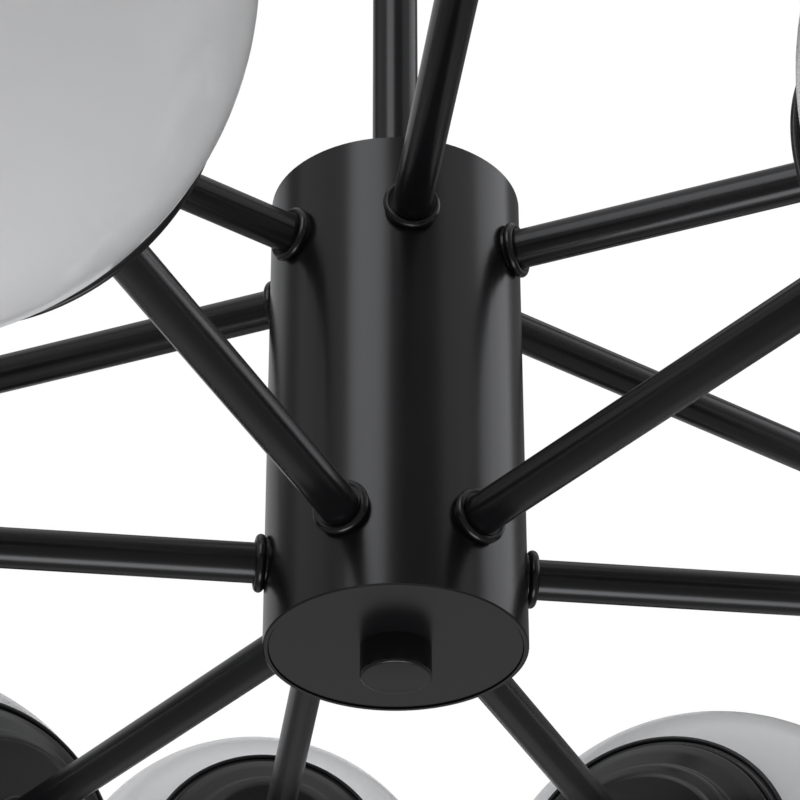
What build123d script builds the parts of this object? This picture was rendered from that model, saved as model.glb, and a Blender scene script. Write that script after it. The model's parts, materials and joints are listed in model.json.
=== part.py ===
from build123d import *
from math import cos, radians, sin, sqrt
import os

# A sputnik chandelier: twelve straight arms in two tiers round a drum-shaped hub, each arm
# ending in a stepped metal cup with an opal glass globe, all hung on a rod from a ceiling canopy.
# Millimetres, +Z up. The origin is the centre of the crossbar's upper face, on the ceiling.

# ---------------------------------------------------------------- fits and clearances
running_fit = 0.06          # radial gap of a shaft in its bearing
thread_gap = 0.05           # radial gap between a thread and its nut or bore
body_gap = 0.3              # gap between pieces that move past each other

# ---------------------------------------------------------------- ceiling crossbar
bar_width = 22.0
bar_thickness = 2.5
bar_end_margin = 4.5        # slot's end to the bar's end
slot_length = 18.0          # end to end, spans the screws of 70 mm and 89 mm ceiling boxes
slot_width = 4.6
slot_web = 5.5              # metal left between a stud's hole and the slot

# ---------------------------------------------------------------- canopy and its fixings
canopy_bar_gap = 5.8        # crossbar's end to the canopy's wall
canopy_height = 25.0
canopy_wall = 1.2
canopy_corner = 5.0
stud_spacing = 46.0
stud_diameter = 4.0
stud_hole_gap = 0.3
cap_nut_diameter = 9.0
cap_nut_flat = 2.6          # flat left at the end of its dome
cap_nut_roof = 2.95
stud_grip = 5.0             # how far a stud reaches into its cap nut

# ---------------------------------------------------------------- hang-straight swivel
stem_diameter = 9.0
stem_bore = 5.4
shoulder_diameter = 18.0
shoulder_thickness = 2.0
stem_nut_wall = 3.0
stem_nut_thickness = 4.0
stem_above_nut = 3.0
rivet_gap = 0.4             # rivet's edge to the fork's ears
rivet_thickness = 1.8
head_diameter = 24.0
head_plate = 5.0
head_round = 1.2
fork_gap = 13.0
pin_drop = 15.0             # fork's ceiling to the cross pins
ear_below_pin = 9.0
pin_diameter = 6.0
pin_reach = 2.7             # how far each pin enters the tongue
eye_diameter = 15.0
neck_width = 11.0
neck_below_ears = 5.0       # ears' lower ends to the socket's upper face
socket_wall = 2.1
socket_floor = 2.0
socket_depth = 14.0
socket_round = 0.75

# ---------------------------------------------------------------- down rod
all_thread_diameter = 10.0  # joins the rods, and ties the rod to the hub
rod_wall = 1.3
upper_rod_length = 300.0
lower_rod_length = 300.0
joiner_length = 32.0
joiner_bore = 6.4

# ---------------------------------------------------------------- hub
hub_diameter = 68.0
hub_length = 137.5
hub_wall = 1.3
hub_edge = 0.4
tier_inset = 23.0           # each tier's arms from its end of the hub
arms_per_tier = 6
ledge_width = 1.6
ledge_thickness = 1.5
top_cap_thickness = 2.0
bottom_cap_thickness = 1.6
cap_recess = 0.4            # bottom cap's face inside the hub's rim

# ---------------------------------------------------------------- centre tie rod and finial knob
tie_rod_bore = 6.0
tie_rod_into_rod = 18.0
tie_rod_into_knob = 6.0
tie_nut_wall = 3.5
tie_nut_thickness = 4.0
knob_diameter = 18.4
knob_edge = 0.5
knob_end_gap = 0.7          # tie rod's end to the knob's floor
knob_floor = 1.8

# ---------------------------------------------------------------- arms and their collars
arm_diameter = 10.6
arm_wall = 1.2
arm_hole_gap = 0.1
arm_inside_hub = 6.5        # arm's inner end past the hub's inner face
arm_into_tower = 7.0        # arm's outer end past the face of its nut
arm_nut_wall = 1.7
arm_nut_thickness = 3.0
collar_root_wall = 1.4      # collar's walls stand out from the arm's surface
collar_bead_wall = 2.3
collar_bead_length = 2.6
collar_groove_wall = 0.9
collar_groove_depth = 0.5
collar_lip_wall = 0.55
collar_lip_length = 0.2     # lip's face past the bead's

# ---------------------------------------------------------------- cups
# Each width runs out from the ring before it, and each depth runs back from the ring before it.
lower_rim_distance = 200.5  # hub axis to the cup's rim, lower tier
upper_rim_distance = 380.5  # the same, upper tier
cup_wall = 1.0
crown_width = 3.0           # globe's neck to the crown's edge
dome_width = 4.0
dome_depth = 2.0
step_width = 1.0
step_depth = 3.4
flank_width = 6.0
flank_depth = 3.0
brow_width = 3.5
brow_depth = 2.4
skirting_depth = 3.2        # straight wall behind the flange
flange_width = 4.0
rolled_edge_radius = 0.9
flange_round = 1.6
brow_round = 1.6
flank_round = 12.0
step_round = 2.0
dome_round = 3.0
crown_round = 6.0

# ---------------------------------------------------------------- glass globes
globe_diameter = 152.0
glass_thickness = 2.0
globe_flange_gap = 0.3      # least gap from the ball to the cup's flange
neck_diameter = 47.0
neck_length = 4.7           # least length of neck behind the ball
neck_glass = 2.5
neck_end_gap = 0.5          # neck's end to the cup's floor
neck_root_round = 2.0

# ---------------------------------------------------------------- lamp holders and bulbs
skirt_wall = 2.2
holder_nut_gap = 0.5        # cup's nut to the plate over it
holder_plate = 2.5
tower_wall = 3.65
tower_height = 12.0
socket_roof_gap = 0.6       # bulb pins' ends to the underside of the tower's roof
bulb_pin_spacing = 9.0
bulb_pin_diameter = 2.0
bulb_pin_length = 3.4
bulb_diameter = 16.0
bulb_base_inset = 1.0
bulb_base_height = 6.0
bulb_length = 44.0

# ---------------------------------------------------------------- places worked out from the sizes
slot_inner_end = stud_spacing / 2 + stud_diameter / 2 + slot_web
slot_spacing = 2 * slot_inner_end + slot_length
bar_length = slot_spacing + slot_length + 2 * bar_end_margin
canopy_diameter = bar_length + 2 * (canopy_bar_gap + canopy_wall)
canopy_floor = -canopy_height + canopy_wall
cap_nut_height = stud_grip + thread_gap + cap_nut_roof

head_top = -canopy_height - shoulder_thickness - body_gap
fork_ceiling = head_top - head_plate
fork_depth = pin_drop + ear_below_pin
pin_height = fork_ceiling - pin_drop
socket_drop = ear_below_pin + neck_below_ears
socket_top = pin_height - socket_drop
rivet_radius = fork_gap / 2 - rivet_gap

thread_radius = all_thread_diameter / 2
rod_bore_radius = thread_radius + thread_gap
rod_radius = rod_bore_radius + rod_wall
rod_top = socket_top - socket_floor
rod_joint = rod_top - upper_rod_length

hub_top = rod_joint - lower_rod_length
hub_bottom = hub_top - hub_length
hub_radius = hub_diameter / 2
hub_inside = hub_radius - hub_wall
cap_face = hub_bottom + cap_recess
knob_height = tie_rod_into_knob + knob_end_gap + knob_floor
upper_tier = hub_top - tier_inset
lower_tier = hub_bottom + tier_inset

arm_radius = arm_diameter / 2
arm_hole = arm_radius + arm_hole_gap
arm_nut_apothem = arm_radius + arm_nut_wall
arm_nut_corner = arm_nut_apothem * 2 / sqrt(3)
arm_nut_face = sqrt(hub_inside**2 - arm_nut_corner**2) - thread_gap

neck_radius = neck_diameter / 2
neck_inside = neck_radius - neck_glass
crown_radius = neck_radius + crown_width
dome_radius = crown_radius + dome_width
step_radius = dome_radius + step_width
flank_radius = step_radius + flank_width
brow_radius = flank_radius + brow_width
cup_radius = brow_radius + flange_width
brow_back = cup_wall + skirting_depth
flank_back = brow_back + brow_depth
step_back = flank_back + flank_depth
dome_back = step_back + step_depth
cup_depth = dome_back + dome_depth
cup_floor = cup_depth - cup_wall

# The ball stands off the rim by its neck, or further out where the flange's bend would touch it.
globe_radius = globe_diameter / 2
globe_inside = globe_radius - glass_thickness
neck_stand_off = sqrt(globe_radius**2 - neck_radius**2) + neck_length - (cup_floor - neck_end_gap)
flange_bend = flange_round + cup_wall
bend_to_ball = globe_radius + flange_bend + globe_flange_gap
flange_stand_off = sqrt(bend_to_ball**2 - (brow_radius + flange_round) ** 2) - flange_bend
globe_centre_out = max(neck_stand_off, flange_stand_off)

skirt_radius = neck_inside - body_gap
skirt_height = arm_nut_thickness + holder_nut_gap + holder_plate
tower_bore = arm_radius + thread_gap
tower_radius = tower_bore + tower_wall
tower_roof = bulb_pin_length + socket_roof_gap
tower_top = skirt_height + tower_height

os.makedirs("parts", exist_ok=True)


def save(builder, name):
    """Label a finished piece and write it to its own file."""
    builder.part.label = name
    export_step(builder.part, f"parts/{name}.step")


def arm_plane(azimuth, height):
    """Plane through an arm's axis: X runs out along the arm and Y runs up."""
    out = Vector(sin(radians(azimuth)), -cos(radians(azimuth)), 0)
    return Plane(origin=(0, 0, height), x_dir=out, z_dir=out.cross(Vector(0, 0, 1)))


def along(plane, distance):
    """Plane square to an arm's axis, at a distance from the hub's axis."""
    return Plane(origin=plane.origin + plane.x_dir * distance, x_dir=plane.y_dir, z_dir=plane.x_dir)


tiers = {
    "upper": (upper_tier, upper_rim_distance, 0.0),
    "lower": (lower_tier, lower_rim_distance, 180.0 / arms_per_tier),
}
places = [
    (tier, number + 1, arm_plane(start + number * 360.0 / arms_per_tier, height), rim)
    for tier, (height, rim, start) in tiers.items()
    for number in range(arms_per_tier)
]

# ================================================================ ceiling fixings

# Crossbar: a flat steel strip with two slots for the ceiling box and two tapped holes for studs.
with BuildPart() as ceiling_crossbar:
    with BuildSketch(Plane.XY.offset(-bar_thickness)):
        SlotOverall(bar_length, bar_width)
        with Locations((-slot_spacing / 2, 0), (slot_spacing / 2, 0)):
            SlotOverall(slot_length, slot_width, mode=Mode.SUBTRACT)
        with GridLocations(stud_spacing, 0, 2, 1):
            Circle(stud_diameter / 2 + thread_gap, mode=Mode.SUBTRACT)
        Circle(stem_diameter / 2 + body_gap, mode=Mode.SUBTRACT)
    extrude(amount=bar_thickness)
save(ceiling_crossbar, "ceiling_crossbar")

# Studs that hang from the crossbar and carry the canopy on two cap nuts.
with BuildPart() as canopy_studs:
    with BuildSketch(Plane.XY.offset(-canopy_height - stud_grip)):
        with GridLocations(stud_spacing, 0, 2, 1):
            Circle(stud_diameter / 2)
    extrude(amount=canopy_height + stud_grip)
save(canopy_studs, "canopy_studs")

with BuildPart() as canopy_cap_nuts:
    with BuildSketch(Plane.XY.offset(-canopy_height - cap_nut_height)):
        with GridLocations(stud_spacing, 0, 2, 1):
            Circle(cap_nut_diameter / 2)
    extrude(amount=cap_nut_height)
    dome_edges = canopy_cap_nuts.edges().group_by(Axis.Z)[0]
    fillet(dome_edges, min(cap_nut_diameter - cap_nut_flat, cap_nut_height) / 2)
    with BuildSketch(Plane.XY.offset(-canopy_height)):
        with GridLocations(stud_spacing, 0, 2, 1):
            Circle(stud_diameter / 2 + thread_gap)
    extrude(amount=-stud_grip - thread_gap, mode=Mode.SUBTRACT)
save(canopy_cap_nuts, "canopy_cap_nuts")

# Canopy: a shallow pressed pan, open to the ceiling, with a rounded lower corner.
with BuildPart() as canopy:
    with BuildSketch(Plane.XY.offset(-canopy_height)):
        Circle(canopy_diameter / 2)
    extrude(amount=canopy_height)
    fillet(canopy.edges().group_by(Axis.Z)[0], canopy_corner)
    offset(amount=-canopy_wall, openings=canopy.faces().sort_by(Axis.Z)[-1])
    with BuildSketch(Plane.XY.offset(-canopy_height)):
        Circle(stem_diameter / 2 + thread_gap)
        with GridLocations(stud_spacing, 0, 2, 1):
            Circle(stud_diameter / 2 + stud_hole_gap)
    extrude(amount=canopy_wall, mode=Mode.SUBTRACT)
save(canopy, "canopy")

# ================================================================ hang-straight swivel

# Stem: a hollow spindle clamped in the canopy by its shoulder and nut, riveted over below.
with BuildPart() as swivel_stem:
    with BuildSketch(Plane.XZ):
        with BuildLine():
            Polyline(
                (stem_bore / 2, canopy_floor + stem_nut_thickness + stem_above_nut),
                (stem_diameter / 2, canopy_floor + stem_nut_thickness + stem_above_nut),
                (stem_diameter / 2, -canopy_height),
                (shoulder_diameter / 2, -canopy_height),
                (shoulder_diameter / 2, -canopy_height - shoulder_thickness),
                (stem_diameter / 2, -canopy_height - shoulder_thickness),
                (stem_diameter / 2, fork_ceiling - body_gap),
                (rivet_radius, fork_ceiling - body_gap),
                (rivet_radius, fork_ceiling - body_gap - rivet_thickness),
                (stem_bore / 2, fork_ceiling - body_gap - rivet_thickness),
                close=True,
            )
        make_face()
    revolve(axis=Axis.Z)
save(swivel_stem, "swivel_stem")

with BuildPart() as stem_nut:
    with BuildSketch(Plane.XY.offset(canopy_floor)):
        RegularPolygon(stem_diameter / 2 + stem_nut_wall, 6, major_radius=False)
        Circle(stem_diameter / 2 + thread_gap, mode=Mode.SUBTRACT)
    extrude(amount=stem_nut_thickness)
save(stem_nut, "stem_nut")

# Head: turns on the stem, and its two ears straddle the tongue.
with BuildPart() as swivel_head:
    with BuildSketch(Plane.XY.offset(fork_ceiling - fork_depth)):
        Circle(head_diameter / 2)
    extrude(amount=fork_depth + head_plate)
    fillet(swivel_head.edges().group_by(Axis.Z)[-1], head_round)
    with BuildSketch(Plane.XZ):
        with Locations((0, fork_ceiling - fork_depth / 2)):
            Rectangle(fork_gap, fork_depth)
    extrude(amount=head_diameter, both=True, mode=Mode.SUBTRACT)
    with BuildSketch(Plane.XY.offset(fork_ceiling)):
        Circle(stem_diameter / 2 + running_fit)
    extrude(amount=head_plate, mode=Mode.SUBTRACT)
    with BuildSketch(Plane.YZ):
        with Locations((0, pin_height)):
            Circle(pin_diameter / 2 + thread_gap)
    extrude(amount=head_diameter, both=True, mode=Mode.SUBTRACT)
save(swivel_head, "swivel_head")

# Two short cross pins, one through each ear, leave the middle open for the wires.
with BuildPart() as swivel_pins:
    pin_inner = (fork_gap / 2 - body_gap) - pin_reach + thread_gap
    pin_outer = sqrt((head_diameter / 2) ** 2 - (pin_diameter / 2) ** 2)
    for side in (-1, 1):
        with BuildSketch(Plane.YZ.offset(side * pin_inner)):
            with Locations((0, pin_height)):
                Circle(pin_diameter / 2)
        extrude(amount=side * (pin_outer - pin_inner))
save(swivel_pins, "swivel_pins")

# Tongue: a bored eye between the ears, a flat neck, and a socket that takes the rod.
with BuildPart() as swivel_tongue:
    tongue_width = fork_gap - 2 * body_gap
    with BuildSketch(Plane.YZ.offset(-tongue_width / 2)):
        with Locations((0, pin_height)):
            Circle(eye_diameter / 2)
        with Locations((0, pin_height - socket_drop / 2)):
            Rectangle(neck_width, socket_drop)
    extrude(amount=tongue_width)
    with BuildSketch(Plane.XY.offset(socket_top)):
        Circle(rod_radius + thread_gap + socket_wall)
    extrude(amount=-socket_floor - socket_depth)
    fillet(swivel_tongue.edges().group_by(Axis.Z)[0], socket_round)
    with BuildSketch(Plane.XY.offset(rod_top)):
        Circle(rod_radius + thread_gap)
    extrude(amount=-socket_depth, mode=Mode.SUBTRACT)
    with BuildSketch(Plane.XY.offset(pin_height)):
        Circle(stem_bore / 2)
    extrude(amount=eye_diameter, both=True, mode=Mode.SUBTRACT)
    for side in (-1, 1):
        with BuildSketch(Plane.YZ.offset(side * tongue_width / 2)):
            with Locations((0, pin_height)):
                Circle(pin_diameter / 2 + running_fit)
        extrude(amount=-side * pin_reach, mode=Mode.SUBTRACT)
save(swivel_tongue, "swivel_tongue")

# ================================================================ down rod

for name, foot, length in (
    ("rod_upper", rod_joint, upper_rod_length),
    ("rod_lower", hub_top, lower_rod_length),
):
    with BuildPart() as rod:
        with BuildSketch(Plane.XY.offset(foot)):
            Circle(rod_radius)
            Circle(rod_bore_radius, mode=Mode.SUBTRACT)
        extrude(amount=length)
    save(rod, name)

with BuildPart() as rod_joiner:
    with BuildSketch(Plane.XY.offset(rod_joint - joiner_length / 2)):
        Circle(thread_radius)
        Circle(joiner_bore / 2, mode=Mode.SUBTRACT)
    extrude(amount=joiner_length)
save(rod_joiner, "rod_joiner")

# ================================================================ hub

# Drum: a drawn tube with a seat ring inside each end and a ring of arm holes in each tier.
with BuildPart() as hub_tube:
    with BuildSketch(Plane.XY.offset(hub_bottom)):
        Circle(hub_radius)
    extrude(amount=hub_length)
    chamfer(hub_tube.edges().group_by(Axis.Z)[0] + hub_tube.edges().group_by(Axis.Z)[-1], hub_edge)
    with BuildSketch(Plane.XY.offset(hub_bottom)):
        Circle(hub_inside)
    extrude(amount=hub_length, mode=Mode.SUBTRACT)
    for seat in (cap_face + bottom_cap_thickness, hub_top - top_cap_thickness - ledge_thickness):
        with BuildSketch(Plane.XY.offset(seat)):
            Circle(hub_inside)
            Circle(hub_inside - ledge_width, mode=Mode.SUBTRACT)
        extrude(amount=ledge_thickness)
    for _, _, plane, _ in places:
        with BuildSketch(along(plane, hub_radius)):
            Circle(arm_hole)
        extrude(amount=-hub_radius / 2, mode=Mode.SUBTRACT)
save(hub_tube, "hub_tube")

with BuildPart() as hub_top_cap:
    with BuildSketch(Plane.XY.offset(hub_top - top_cap_thickness)):
        Circle(hub_inside - thread_gap)
        Circle(thread_radius + thread_gap, mode=Mode.SUBTRACT)
    extrude(amount=top_cap_thickness)
save(hub_top_cap, "hub_top_cap")

with BuildPart() as hub_bottom_cap:
    with BuildSketch(Plane.XY.offset(cap_face)):
        Circle(hub_inside - body_gap)
        Circle(thread_radius + body_gap, mode=Mode.SUBTRACT)
    extrude(amount=bottom_cap_thickness)
save(hub_bottom_cap, "hub_bottom_cap")

# Tie rod: hollow above, where the wires leave through a cross hole, and solid below.
with BuildPart() as tie_rod:
    wire_exit = (hub_top + hub_bottom) / 2
    with BuildSketch(Plane.XY.offset(cap_face - tie_rod_into_knob)):
        Circle(thread_radius)
    extrude(amount=tie_rod_into_knob - cap_face + hub_top + tie_rod_into_rod)
    with BuildSketch(Plane.XY.offset(hub_top + tie_rod_into_rod)):
        Circle(tie_rod_bore / 2)
    extrude(amount=wire_exit - hub_top - tie_rod_into_rod, mode=Mode.SUBTRACT)
    with BuildSketch(Plane.XZ):
        with Locations((0, wire_exit)):
            Circle(tie_rod_bore / 2)
    extrude(amount=all_thread_diameter, both=True, mode=Mode.SUBTRACT)
save(tie_rod, "tie_rod")

with BuildPart() as tie_rod_nut:
    with BuildSketch(Plane.XY.offset(hub_top - top_cap_thickness)):
        RegularPolygon(thread_radius + tie_nut_wall, 6, major_radius=False)
        Circle(thread_radius + thread_gap, mode=Mode.SUBTRACT)
    extrude(amount=-tie_nut_thickness)
save(tie_rod_nut, "tie_rod_nut")

# Finial knob: a plain round nut that screws up the tie rod and holds the bottom cap in.
with BuildPart() as finial_knob:
    with BuildSketch(Plane.XY.offset(cap_face - knob_height)):
        Circle(knob_diameter / 2)
    extrude(amount=knob_height)
    chamfer(finial_knob.edges().group_by(Axis.Z)[0], knob_edge)
    with BuildSketch(Plane.XY.offset(cap_face)):
        Circle(thread_radius + running_fit)
    extrude(amount=knob_floor - knob_height, mode=Mode.SUBTRACT)
save(finial_knob, "finial_knob")

# ================================================================ arms


def collar_outline(seat, facing):
    """Half section of a beaded collar: round bead on its seat, then a groove and a thin inner lip."""
    face = seat + facing * collar_bead_length
    groove = face - facing * collar_groove_depth
    lip = face + facing * collar_lip_length
    root = arm_radius + collar_root_wall
    inner = arm_radius + thread_gap
    with BuildLine() as outline:
        ThreePointArc((seat, root), ((seat + face) / 2, arm_radius + collar_bead_wall), (face, root))
        Polyline(
            (face, root),
            (face, arm_radius + collar_groove_wall),
            (groove, arm_radius + collar_groove_wall),
            (groove, arm_radius + collar_lip_wall),
            (lip, arm_radius + collar_lip_wall),
            (lip, inner),
            (seat, inner),
            (seat, root),
        )
    return outline.edges()


for tier, number, plane, rim in places:
    with BuildPart() as arm:
        arm_foot = hub_inside - arm_inside_hub
        arm_tip = rim - cup_floor + arm_nut_thickness + arm_into_tower
        with BuildSketch(along(plane, arm_foot)):
            Circle(arm_radius)
            Circle(arm_radius - arm_wall, mode=Mode.SUBTRACT)
        extrude(amount=arm_tip - arm_foot)
    save(arm, f"{tier}_arm_{number}")

# Nuts that lock the arms inside the hub.
with BuildPart() as hub_arm_nuts:
    for _, _, plane, _ in places:
        with BuildSketch(along(plane, arm_nut_face - arm_nut_thickness)):
            RegularPolygon(arm_nut_apothem, 6, major_radius=False)
            Circle(arm_radius + thread_gap, mode=Mode.SUBTRACT)
        extrude(amount=arm_nut_thickness)
save(hub_arm_nuts, "hub_arm_nuts")

# Collars where the arms leave the hub, each cut to the drum's curve.
with BuildPart() as hub_collars:
    for _, _, plane, _ in places:
        with BuildSketch(plane):
            make_face(collar_outline(hub_radius, 1))
            with BuildLine():
                Polyline(
                    (hub_inside, arm_radius + thread_gap),
                    (hub_radius, arm_radius + thread_gap),
                    (hub_radius, arm_radius + collar_root_wall),
                    (hub_inside, arm_radius + collar_root_wall),
                    close=True,
                )
            make_face()
        revolve(axis=Axis(plane.origin, plane.x_dir))
    with BuildSketch(Plane.XY.offset(hub_bottom)):
        Circle(hub_radius)
    extrude(amount=hub_length, mode=Mode.SUBTRACT)
save(hub_collars, "hub_collars")

# Collars where the arms enter the cups.
with BuildPart() as cup_collars:
    for _, _, plane, rim in places:
        with BuildSketch(plane):
            make_face(collar_outline(rim - cup_depth, -1))
        revolve(axis=Axis(plane.origin, plane.x_dir))
save(cup_collars, "cup_collars")

# Nuts that clamp the cups on the arms' outer ends.
with BuildPart() as cup_nuts:
    for _, _, plane, rim in places:
        with BuildSketch(along(plane, rim - cup_floor)):
            RegularPolygon(arm_nut_apothem, 6, major_radius=False)
            Circle(arm_radius + thread_gap, mode=Mode.SUBTRACT)
        extrude(amount=arm_nut_thickness)
save(cup_nuts, "cup_nuts")

# ================================================================ cups and globes

# Cup: one spun shell, from a rolled edge and flat flange back over a brow and a step to a raised
# crown.
for tier, number, plane, rim in places:
    with BuildPart() as cup:
        with BuildSketch(plane):
            with BuildLine():
                FilletPolyline(
                    (rim - cup_wall, cup_radius - rolled_edge_radius),
                    (rim - cup_wall, brow_radius),
                    (rim - brow_back, brow_radius),
                    (rim - flank_back, flank_radius),
                    (rim - step_back, step_radius),
                    (rim - dome_back, dome_radius),
                    (rim - cup_depth, crown_radius),
                    (rim - cup_depth, arm_hole),
                    radius=[
                        flange_round, brow_round, flank_round, step_round, dome_round, crown_round
                    ],
                )
                offset(amount=cup_wall, side=Side.LEFT)
            make_face()
            with Locations((rim - rolled_edge_radius, cup_radius - rolled_edge_radius)):
                Circle(rolled_edge_radius)
        revolve(axis=Axis(plane.origin, plane.x_dir))
    save(cup, f"{tier}_cup_{number}")

# Globe: a blown ball with a short screw neck that goes over the lamp holder's skirt.
for tier, number, plane, rim in places:
    with BuildPart() as globe:
        centre = rim + globe_centre_out
        neck_end = rim - cup_floor + neck_end_gap
        neck_root = centre - sqrt(globe_radius**2 - neck_radius**2)
        neck_mouth = centre - sqrt(globe_inside**2 - neck_inside**2)
        with BuildSketch(plane) as glass:
            with BuildLine():
                Line((neck_end, neck_radius), (neck_root, neck_radius))
                ThreePointArc(
                    (neck_root, neck_radius), (centre, globe_radius), (centre + globe_radius, 0)
                )
                Line((centre + globe_radius, 0), (centre + globe_inside, 0))
                ThreePointArc(
                    (centre + globe_inside, 0), (centre, globe_inside), (neck_mouth, neck_inside)
                )
                Polyline((neck_mouth, neck_inside), (neck_end, neck_inside), (neck_end, neck_radius))
            make_face()
            neck_corner = glass.vertices().sort_by_distance((neck_root, neck_radius, 0))[0]
            fillet(neck_corner, neck_root_round)
        revolve(axis=Axis(plane.origin, plane.x_dir))
    save(globe, f"{tier}_globe_{number}")

# ================================================================ lamp holders and bulbs

# Lamp holder: screwed on the arm's end, with a skirt that carries the globe's neck and a tower
# with two pin sockets.
with BuildPart() as lamp_holders:
    for _, _, plane, rim in places:
        floor = rim - cup_floor
        with BuildSketch(plane):
            with BuildLine():
                Polyline(
                    (floor, skirt_radius - skirt_wall),
                    (floor, skirt_radius),
                    (floor + skirt_height, skirt_radius),
                    (floor + skirt_height, tower_radius),
                    (floor + tower_top, tower_radius),
                    (floor + tower_top, 0),
                    (floor + tower_top - tower_roof, 0),
                    (floor + tower_top - tower_roof, tower_bore),
                    (floor + skirt_height - holder_plate, tower_bore),
                    (floor + skirt_height - holder_plate, skirt_radius - skirt_wall),
                    close=True,
                )
            make_face()
        revolve(axis=Axis(plane.origin, plane.x_dir))
        with BuildSketch(along(plane, floor + tower_top)):
            with GridLocations(bulb_pin_spacing, 0, 2, 1):
                Circle(bulb_pin_diameter / 2 + thread_gap)
        extrude(amount=-tower_roof, mode=Mode.SUBTRACT)
save(lamp_holders, "lamp_holders")

# Bulb: a two-pin capsule, its glass rounded at the tip.
with BuildPart() as bulbs:
    for _, _, plane, rim in places:
        foot = rim - cup_floor + tower_top
        with BuildSketch(plane):
            with BuildLine():
                Polyline(
                    (foot + bulb_length - bulb_diameter / 2, bulb_diameter / 2),
                    (foot + bulb_base_height, bulb_diameter / 2),
                    (foot + bulb_base_height, bulb_diameter / 2 - bulb_base_inset),
                    (foot, bulb_diameter / 2 - bulb_base_inset),
                    (foot, 0),
                    (foot + bulb_length, 0),
                )
                RadiusArc(
                    (foot + bulb_length, 0),
                    (foot + bulb_length - bulb_diameter / 2, bulb_diameter / 2),
                    -bulb_diameter / 2,
                )
            make_face()
        revolve(axis=Axis(plane.origin, plane.x_dir))
        with BuildSketch(along(plane, foot)):
            with GridLocations(bulb_pin_spacing, 0, 2, 1):
                Circle(bulb_pin_diameter / 2)
        extrude(amount=-bulb_pin_length)
save(bulbs, "bulbs")
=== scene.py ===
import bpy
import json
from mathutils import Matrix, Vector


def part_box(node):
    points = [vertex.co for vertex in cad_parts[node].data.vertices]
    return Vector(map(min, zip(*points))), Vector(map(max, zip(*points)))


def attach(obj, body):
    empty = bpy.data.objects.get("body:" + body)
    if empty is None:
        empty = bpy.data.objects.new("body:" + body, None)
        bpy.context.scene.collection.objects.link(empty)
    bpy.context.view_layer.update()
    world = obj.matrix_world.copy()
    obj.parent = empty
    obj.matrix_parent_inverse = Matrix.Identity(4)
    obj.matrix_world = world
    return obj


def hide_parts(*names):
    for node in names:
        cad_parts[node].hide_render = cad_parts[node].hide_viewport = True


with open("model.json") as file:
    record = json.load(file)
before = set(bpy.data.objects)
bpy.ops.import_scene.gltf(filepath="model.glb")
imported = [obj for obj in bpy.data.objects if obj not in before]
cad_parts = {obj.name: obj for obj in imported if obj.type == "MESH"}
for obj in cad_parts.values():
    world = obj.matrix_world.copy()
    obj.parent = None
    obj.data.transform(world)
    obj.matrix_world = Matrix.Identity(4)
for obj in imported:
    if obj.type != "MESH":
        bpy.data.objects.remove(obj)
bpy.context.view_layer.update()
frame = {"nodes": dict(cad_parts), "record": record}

import json
from math import pi, radians

import bmesh
import bpy
from mathutils import Matrix, Vector

nodes = frame["nodes"]
print("frame loaded,", len(nodes), "nodes")


# a Wire is the output of a shader node, and sums on wires add Math nodes
class Wire:
    def __init__(self, graph, socket):
        self.graph = graph
        self.socket = socket

    def maths(self, operation, *values):
        return self.graph.node("Math", {"operation": operation}, *values)["Value"]

    def __add__(self, other):
        return self.maths("ADD", self, other)

    def __sub__(self, other):
        return self.maths("SUBTRACT", self, other)

    def __mul__(self, other):
        return self.maths("MULTIPLY", self, other)

    def __radd__(self, other):
        return self.maths("ADD", other, self)

    def __rsub__(self, other):
        return self.maths("SUBTRACT", other, self)

    def __rmul__(self, other):
        return self.maths("MULTIPLY", other, self)

    def between(self, low, high):
        # 0 below low, 1 above high, smooth from one to the other
        smooth = {"interpolation_type": "SMOOTHSTEP"}
        return self.graph.node("MapRange", smooth, Value=self, From_Min=low, From_Max=high)["Result"]

    def highest(self, other):
        return self.maths("MAXIMUM", self, other)


class Graph:
    def __init__(self, tree):
        self.tree = tree

    def node(self, kind, settings=None, *values, **named):
        made = self.tree.nodes.new("ShaderNode" + kind)
        for setting, value in (settings or {}).items():
            setattr(made, setting, value)
        sockets = [socket for socket in made.inputs if socket.enabled]
        for socket, value in zip(sockets, values):
            self.feed(socket, value)
        byName = {socket.name: socket for socket in sockets}
        for name, value in named.items():
            self.feed(byName[name.replace("_", " ")], value)
        return {socket.name: Wire(self, socket) for socket in made.outputs if socket.enabled}

    def feed(self, socket, value):
        if isinstance(value, Wire):
            self.tree.links.new(value.socket, socket)
        else:
            socket.default_value = value

    def blendColour(self, factor, first, second):
        return self.node("Mix", {"data_type": "RGBA"}, Factor=factor, A=first, B=second)["Result"]

    def level(self, outright, inGloss, asLight):
        # one level for what is seen straight or through glass, one for shine and one for light
        path = self.node("LightPath")
        direct = path["Is Camera Ray"].highest(path["Is Transmission Ray"])
        shine = path["Is Glossy Ray"]
        return direct * outright + shine * inGloss + (1 - direct - shine) * asLight


class Finish(Graph):
    def __init__(self, name):
        self.material = bpy.data.materials.new(name)
        self.material.use_nodes = True
        super().__init__(self.material.node_tree)
        self.shader = self.tree.nodes["Principled BSDF"]
        self.place = self.node("TexCoord")["Object"]

    def set(self, **named):
        for name, value in named.items():
            self.feed(self.shader.inputs[name.replace("_", " ")], value)

    def noise(self, scale, detail=2.0):
        return self.node("TexNoise", None, Vector=self.place, Scale=scale, Detail=detail)["Fac"]

    def bump(self, height, strength, distance):
        return self.node("Bump", None, Strength=strength, Distance=distance, Height=height)["Normal"]


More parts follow.
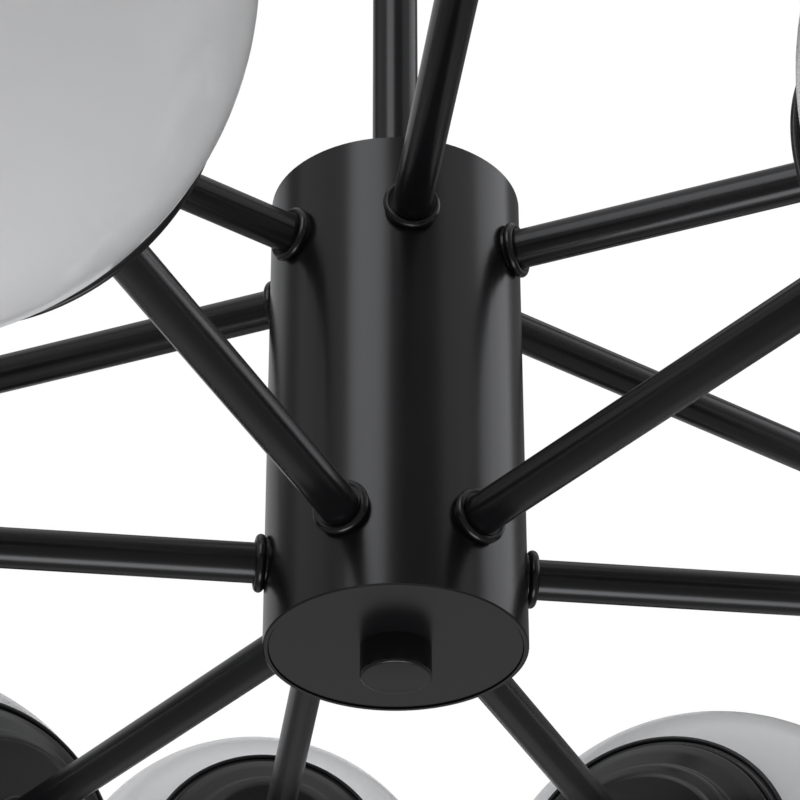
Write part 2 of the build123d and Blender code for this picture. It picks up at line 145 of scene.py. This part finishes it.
powderCoat = {
    "colour": (0.0038, 0.0038, 0.0045, 1.0),
    "paler": (0.0056, 0.0056, 0.0064, 1.0),
    "roughness": 0.25,
    "roughnessSwing": 0.06,
    "cloudScale": 22.0,
    "cloudDetail": 3.0,
    "cloudEdges": (0.35, 0.75),  # noise levels where the paler coat starts and is full
    "peelScale": 900.0,
    "peelStrength": 0.25,
    "peelDepth": 0.00002,
}


def makePowderCoat():
    finish = Finish("blackPowderCoat")
    peel = finish.noise(powderCoat["peelScale"])
    cloud = finish.noise(powderCoat["cloudScale"], powderCoat["cloudDetail"])
    paleness = cloud.between(*powderCoat["cloudEdges"])
    finish.set(
        Base_Color=finish.blendColour(paleness, powderCoat["colour"], powderCoat["paler"]),
        Roughness=powderCoat["roughness"] + (cloud - 0.5) * powderCoat["roughnessSwing"],
        Normal=finish.bump(peel, powderCoat["peelStrength"], powderCoat["peelDepth"]),
    )
    return finish.material


opalGlass = {
    "colour": (0.86, 0.86, 0.88, 1.0),
    "greyer": (0.84, 0.84, 0.86, 1.0),
    "roughness": 0.18,
    "roughnessSwing": 0.06,
    "cloudScale": 9.0,
    "waveScale": 14.0,
    "waveStrength": 0.1,
    "waveDepth": 0.0004,
    "milkiness": 1.0,
    "milkReach": (0.01, 0.01, 0.01),  # how far light spreads in the glass, in metres
}


def makeOpalGlass():
    finish = Finish("opalGlass")
    cloud = finish.noise(opalGlass["cloudScale"])
    wave = finish.noise(opalGlass["waveScale"])
    finish.set(
        Base_Color=finish.blendColour(cloud, opalGlass["colour"], opalGlass["greyer"]),
        Roughness=opalGlass["roughness"] + (cloud - 0.5) * opalGlass["roughnessSwing"],
        Normal=finish.bump(wave, opalGlass["waveStrength"], opalGlass["waveDepth"]),
        Subsurface_Weight=opalGlass["milkiness"],
        Subsurface_Radius=opalGlass["milkReach"],
        Subsurface_Scale=1.0,
    )
    return finish.material


zincPlate = {
    "colour": (0.55, 0.55, 0.53, 1.0),
    "paler": (0.68, 0.68, 0.67, 1.0),
    "roughness": 0.30,
    "roughnessSwing": 0.20,
    "metallic": 1.0,
    "grainScale": 400.0,
    "grainDetail": 3.0,
    "grainStrength": 0.2,
    "grainDepth": 0.00003,
}
glazedCeramic = {
    "colour": (0.80, 0.79, 0.76, 1.0),
    "paler": (0.86, 0.85, 0.83, 1.0),
    "roughness": 0.22,
    "roughnessSwing": 0.12,
    "metallic": 0.0,
    "grainScale": 120.0,
    "grainDetail": 2.0,
    "grainStrength": 0.1,
    "grainDepth": 0.0001,
}
capsuleGlass = {
    "colour": (0.86, 0.86, 0.84, 1.0),
    "paler": (0.92, 0.92, 0.90, 1.0),
    "roughness": 0.35,
    "roughnessSwing": 0.10,
    "metallic": 0.0,
    "grainScale": 700.0,
    "grainDetail": 2.0,
    "grainStrength": 0.15,
    "grainDepth": 0.00004,
}


def makeGrained(name, look):
    # one fine noise gives colour, gloss and relief
    finish = Finish(name)
    grain = finish.noise(look["grainScale"], look["grainDetail"])
    finish.set(
        Base_Color=finish.blendColour(grain, look["colour"], look["paler"]),
        Roughness=look["roughness"] + grain * look["roughnessSwing"],
        Metallic=look["metallic"],
        Normal=finish.bump(grain, look["grainStrength"], look["grainDepth"]),
    )
    return finish.material


finishes = {
    "black_powder_coat": makePowderCoat(),
    "opal_glass": makeOpalGlass(),
    "zinc_plated_steel": makeGrained("zincPlate", zincPlate),
    "white_ceramic": makeGrained("glazedCeramic", glazedCeramic),
    "bulb_glass": makeGrained("capsuleGlass", capsuleGlass),
}
for part in frame["record"]["subparts"]:
    skin = nodes[part["node"]].data.materials
    skin.clear()
    skin.append(finishes[part["material_slot"]])
print("finishes on", len(nodes), "nodes")


finialKnob = {
    "boreRadius": 0.0028,
    "floor": 0.0018,  # metal under the bore
    "edgeRadius": 0.0009,
    "edgeSteps": 5,
    "sides": 128,
    "weld": 0.00001,  # points closer than this are one
    "rimFrom": 0.9,  # share of the radius where the rim starts
    "sharpAngle": 50.0,  # degrees
}


def makeFinialKnob():
    # the plain knob again, with its chamfered lower edge rolled over to catch a thin ring of light
    low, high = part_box("finial_knob")
    radius = (high[0] - low[0]) / 2
    middle = ((low[0] + high[0]) / 2, (low[1] + high[1]) / 2)
    outline = (
        (0.0, low[2]),
        (radius, low[2]),
        (radius, high[2]),
        (finialKnob["boreRadius"], high[2]),
        (finialKnob["boreRadius"], low[2] + finialKnob["floor"]),
        (0.0, low[2] + finialKnob["floor"]),
    )
    mesh = bmesh.new()
    corners = [mesh.verts.new((middle[0] + out, middle[1], height)) for out, height in outline]
    runs = [mesh.edges.new(pair) for pair in zip(corners, corners[1:])]
    bmesh.ops.spin(
        mesh, geom=corners + runs, cent=(*middle, 0.0), axis=(0.0, 0.0, 1.0), dvec=(0.0, 0.0, 0.0),
        angle=2 * pi, steps=finialKnob["sides"], use_merge=True, use_duplicate=False,
    )
    bmesh.ops.remove_doubles(mesh, verts=mesh.verts, dist=finialKnob["weld"])

    def onRim(end):
        reach = (end.co.xy - Vector(middle)).length
        return abs(end.co.z - low[2]) < finialKnob["weld"] and reach > finialKnob["rimFrom"] * radius

    rim = [edge for edge in mesh.edges if all(onRim(end) for end in edge.verts)]
    bmesh.ops.bevel(
        mesh, geom=rim, offset=finialKnob["edgeRadius"], offset_type="OFFSET", affect="EDGES",
        segments=finialKnob["edgeSteps"], profile=0.5, material=-1,
    )
    bmesh.ops.recalc_face_normals(mesh, faces=mesh.faces)
    knob = bpy.data.objects.new("finialKnob", bpy.data.meshes.new("finialKnob"))
    bpy.context.scene.collection.objects.link(knob)
    mesh.to_mesh(knob.data)
    mesh.free()
    knob.data.shade_smooth()
    knob.data.set_sharp_from_angle(angle=radians(finialKnob["sharpAngle"]))
    knob.data.materials.append(finishes["black_powder_coat"])
    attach(knob, "finial")
    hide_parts("finial_knob")


makeFinialKnob()
print("finial knob turned")


camera = {
    "place": (-0.0959, -0.7730, -1.2217),
    "aim": (0.00117, -0.00015, -0.72532),
    "roll": -0.108,  # degrees
    "lens": 156.07,
    "sensor": 36.0,
    "farthest": 50.0,
}


def makeCamera():
    data = bpy.data.cameras.new("camera")
    data.lens = camera["lens"]
    data.sensor_width = camera["sensor"]
    data.clip_end = camera["farthest"]
    view = bpy.data.objects.new("camera", data)
    bpy.context.scene.collection.objects.link(view)
    sight = Vector(camera["aim"]) - Vector(camera["place"])
    turn = sight.to_track_quat("-Z", "Y").to_matrix() @ Matrix.Rotation(radians(camera["roll"]), 3, "Z")
    view.matrix_world = Matrix.Translation(camera["place"]) @ turn.to_4x4()
    bpy.context.scene.camera = view


softboxes = {
    # azimuth from -Y towards +X, elevation seen from the hub, distance, width, height, watts
    "key": (-32.0, 27.0, 1.9, 0.95, 1.5, 10.0),
    "leftWing": (-80.0, 25.0, 1.9, 1.5, 1.5, 2.3),
    "rightWing": (50.0, 25.0, 1.9, 1.0, 1.5, 2.0),
    "right": (95.0, 25.0, 1.9, 1.3, 1.5, 7.6),
    "below": (0.0, -86.0, 1.75, 1.3, 0.75, 11.0),
    "top": (0.0, 86.0, 1.9, 2.6, 2.6, 10.0),
    "back": (-160.0, 20.0, 1.9, 2.2, 1.6, 4.5),
    "lowBack": (173.0, -34.0, 1.9, 1.6, 0.8, 0.75),
}
studio = {
    "centre": (0.0, 0.0, -0.73),
    "lampColour": (0.96, 0.97, 1.0),
    "backdrop": 1.0,  # world as the eye sees it
    "backdropInGloss": 0.15,  # as shiny black shows it
    "ambient": 0.48,  # as light on the part
    "floorHeight": -2.6,
    "floorSize": 40.0,
    "floorColour": (0.3, 0.3, 0.3, 1.0),
    "floorRoughness": 0.6,
    "floorGlow": (0.76, 0.76, 0.76, 1.0),  # keeps the floor pale under weak lamps
    "floorInGloss": 0.04,  # share of the glow in shine
    "floorAsLight": 0.5,  # share of the glow that lights the part
}
white = (1.0, 1.0, 1.0, 1.0)
black = (0.0, 0.0, 0.0, 1.0)


def makeSoftbox(name, azimuth, elevation, distance, width, height, watts):
    data = bpy.data.lights.new(name, "AREA")
    data.shape = "RECTANGLE"
    data.size = width
    data.size_y = height
    data.energy = watts
    data.color = studio["lampColour"]
    lamp = bpy.data.objects.new(name, data)
    bpy.context.scene.collection.objects.link(lamp)
    lamp.visible_camera = False
    boom = Matrix.Rotation(radians(azimuth), 3, "Z") @ Matrix.Rotation(radians(-elevation), 3, "X")
    outwards = boom @ Vector((0.0, -distance, 0.0))
    lamp.location = Vector(studio["centre"]) + outwards
    lamp.rotation_euler = (-outwards).to_track_quat("-Z", "Y").to_euler()


def makeWorld():
    world = bpy.data.worlds.new("studio")
    bpy.context.scene.world = world
    world.use_nodes = True
    world.node_tree.nodes.clear()
    sky = Graph(world.node_tree)
    level = sky.level(studio["backdrop"], studio["backdropInGloss"], studio["ambient"])
    glow = sky.node("Background", None, Color=white, Strength=level)["Background"]
    sky.node("OutputWorld", None, Surface=glow)
    world.cycles.sampling_method = "NONE"  # so that each kind of ray gets its own level


def makeFloor():
    bpy.ops.mesh.primitive_plane_add(size=studio["floorSize"], location=(0, 0, studio["floorHeight"]))
    floor = bpy.context.object
    floor.name = "floor"
    finish = Finish("paleFloor")
    level = finish.level(1.0, studio["floorInGloss"], studio["floorAsLight"])
    finish.set(
        Base_Color=studio["floorColour"],
        Roughness=studio["floorRoughness"],
        Emission_Color=finish.blendColour(level, black, studio["floorGlow"]),
        Emission_Strength=1.0,
    )
    finish.material.cycles.emission_sampling = "NONE"  # as for the world
    floor.data.materials.append(finish.material)


makeCamera()
for name, values in softboxes.items():
    makeSoftbox(name, *values)
makeWorld()
makeFloor()
bpy.context.scene.view_settings.view_transform = "Standard"
print("studio ready")
